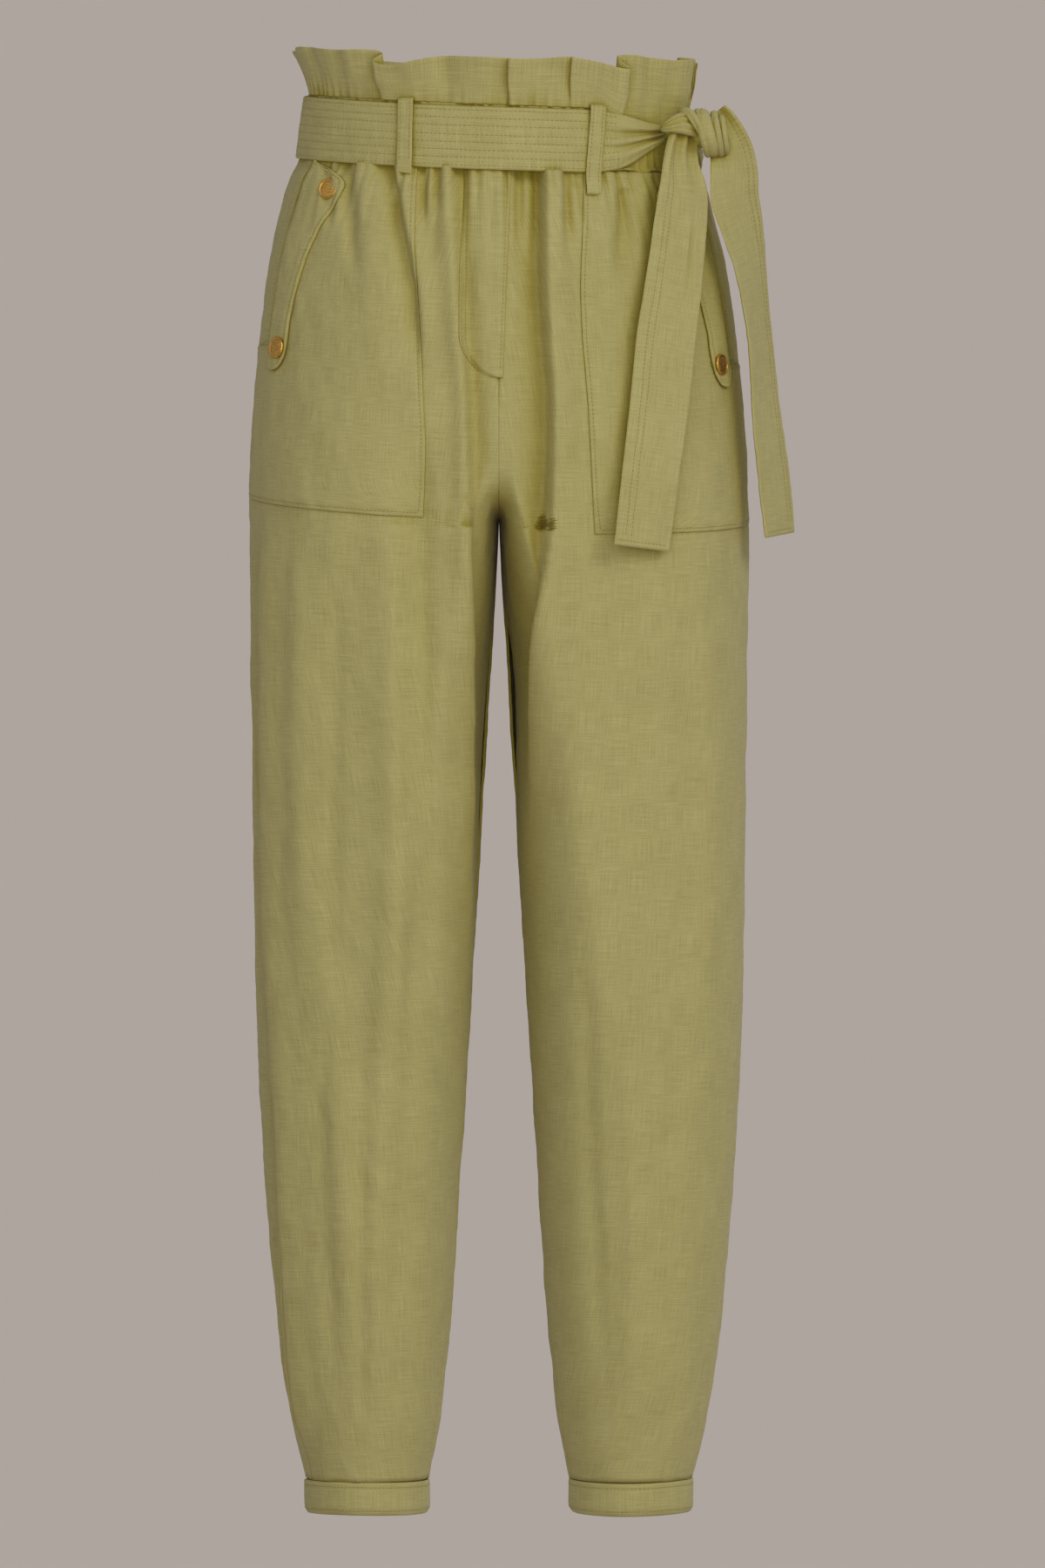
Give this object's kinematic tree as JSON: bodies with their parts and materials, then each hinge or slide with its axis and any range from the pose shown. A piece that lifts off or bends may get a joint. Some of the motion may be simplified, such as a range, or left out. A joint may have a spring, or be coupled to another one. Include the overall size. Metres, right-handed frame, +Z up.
{
  "type": "paperbag waist trousers",
  "caption": "Worn-form linen trousers with a ruffled paperbag waist over an elastic casing, a sash belt tied at the hip, snapped pocket flaps and tapered legs ending in band cuffs.",
  "frame": {"origin": "the middle of the waist, at half the height of the belt, where the wearer holds the trousers up", "axes": "+Z up along the body; -Y towards the wearer's front; +X towards the wearer's left"},
  "size_m": [0.3975, 0.2644, 1.0588],
  "materials": {
    "linen": "pistachio to olive plain-weave linen with slubs and a soft matt sheen, edges topstitched in the same colour",
    "brass": "brushed gold-tone brass snap cap with a thin raised rim, plain"
  },
  "bodies": {
    "root": {"front_right": "linen", "front_left": "linen", "back_right": "linen", "back_left": "linen", "waist_casing": "linen", "heading": "linen", "belt_band": "linen", "belt_knot": "linen", "belt_tail_front": "linen", "belt_tail_back": "linen", "belt_loop_front_right": "linen", "belt_loop_front_left": "linen", "belt_loop_back_right": "linen", "belt_loop_back_left": "linen", "pocket_right": "linen", "pocket_left": "linen", "flap_right": "linen", "flap_left": "linen", "fly": "linen", "cuff_right": "linen", "cuff_left": "linen", "snap_upper_right": "brass", "snap_lower_right": "brass", "snap_upper_left": "brass", "snap_lower_left": "brass"}
  },
  "joints": []
}
